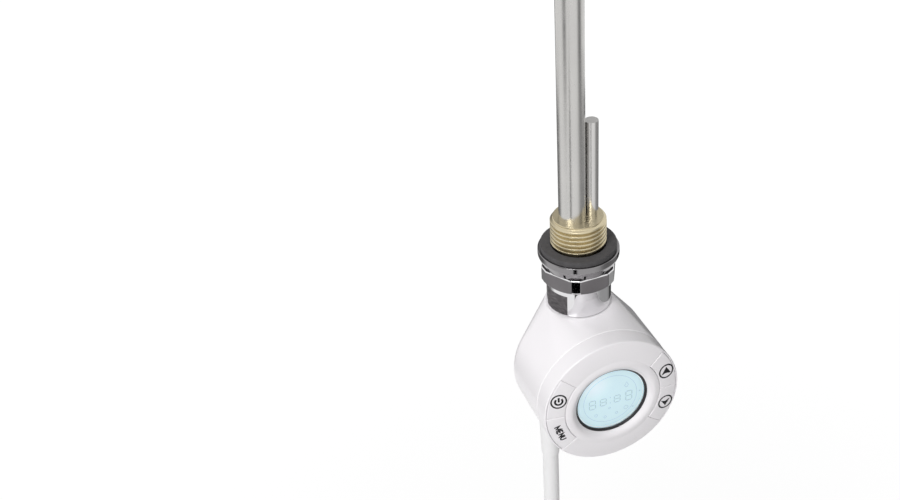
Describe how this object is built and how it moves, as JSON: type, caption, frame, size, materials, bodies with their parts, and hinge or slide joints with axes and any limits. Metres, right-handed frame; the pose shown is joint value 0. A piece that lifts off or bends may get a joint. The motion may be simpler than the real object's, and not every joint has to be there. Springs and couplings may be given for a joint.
{
  "type": "electric heating element",
  "caption": "Electric heating element for a towel rail: threaded fitting with a sheathed rod, chrome neck, and a swivelling round thermostat head with display, buttons and mains lead.",
  "frame": {"origin": "on the thread's axis at the seat plane, where the gasket meets the radiator's underside", "axes": "+Z along the thread into the radiator, -Y out of the display, +X to the right of someone who reads it"},
  "size_m": [0.0661, 0.0472, 0.635],
  "materials": {
    "black_rubber": "matte",
    "ceramic": "matte",
    "chrome": "polished",
    "circuit_green": "satin",
    "clear_window": "clear",
    "component_blue": "satin",
    "component_yellow": "satin",
    "copper": "plain",
    "dark_plastic": "matte",
    "display_blue": "glow",
    "grey_fibre": "matte",
    "light_plastic": "matte",
    "nickel_brass": "satin",
    "satin_chrome": "satin",
    "silicone": "matte",
    "stainless": "brushed",
    "steel": "plain",
    "terminal_green": "satin",
    "white_face": "gloss",
    "white_pvc": "satin",
    "white_shell": "gloss",
    "wire_covers": "satin"
  },
  "bodies": {
    "element": {"threaded_fitting": "nickel_brass", "seat_gasket": "grey_fibre", "cover_ring": "chrome", "hex_nut": "satin_chrome", "neck_sleeve": "chrome", "neck_seal": "black_rubber", "journal_oring": "black_rubber", "retaining_ring": "steel", "heater_sheath": "stainless", "heater_filling": "ceramic", "ceramic_core": "ceramic", "heating_coil": "copper", "heater_pins": "steel", "crimp_sleeves": "copper", "end_seal": "silicone", "element_leads": "silicone", "lead_sleeve": "ceramic", "sensor_pocket": "stainless", "thermistor": "dark_plastic", "thermal_fuse": "steel"},
    "head": {"body_shell": "white_shell", "front_bezel": "white_face", "bezel_seal": "black_rubber", "display_gasket": "black_rubber", "display_window": "clear_window", "lcd_panel": "display_blue", "backlight": "light_plastic", "lcd_frame": "light_plastic", "zebra_strips": "black_rubber", "control_board": "circuit_green", "controller_chip": "dark_plastic", "tact_switches": "dark_plastic", "power_board": "circuit_green", "board_header": "dark_plastic", "board_spacers": "steel", "board_screws": "steel", "relay": "component_yellow", "supply_capacitors": "component_yellow", "board_fuse": "dark_plastic", "varistor": "component_blue", "terminal_blocks": "terminal_green", "head_leads": "silicone", "mains_wires": "wire_covers", "cord_boot": "white_pvc", "cord_clamp": "light_plastic", "clamp_screw": "steel", "mains_cord": "white_pvc", "cord_hank": "white_pvc", "hank_tie": "dark_plastic", "plug_body": "white_pvc", "plug_contacts": "chrome"},
    "up_key": {"up_button": "white_face", "up_actuator": "light_plastic"},
    "down_key": {"down_button": "white_face", "down_actuator": "light_plastic"},
    "menu_key": {"menu_button": "white_face", "menu_actuator": "light_plastic"},
    "power_key": {"power_button": "white_face", "power_actuator": "light_plastic"}
  },
  "joints": [
    {"name": "head_swivel", "type": "hinge", "parent": "element", "child": "head", "pos_m": [0, 0, -0.0542], "axis": [0, 0, 1], "range_deg": [-155, 155]},
    {"name": "up_press", "type": "slide", "parent": "head", "child": "up_key", "axis": [0, 1, 0], "range_m": [0, 0.0005], "stiffness_N_per_m": 1500},
    {"name": "down_press", "type": "slide", "parent": "head", "child": "down_key", "axis": [0, 1, 0], "range_m": [0, 0.0005], "stiffness_N_per_m": 1500},
    {"name": "menu_press", "type": "slide", "parent": "head", "child": "menu_key", "axis": [0, 1, 0], "range_m": [0, 0.0005], "stiffness_N_per_m": 1500},
    {"name": "power_press", "type": "slide", "parent": "head", "child": "power_key", "axis": [0, 1, 0], "range_m": [0, 0.0005], "stiffness_N_per_m": 1500}
  ]
}
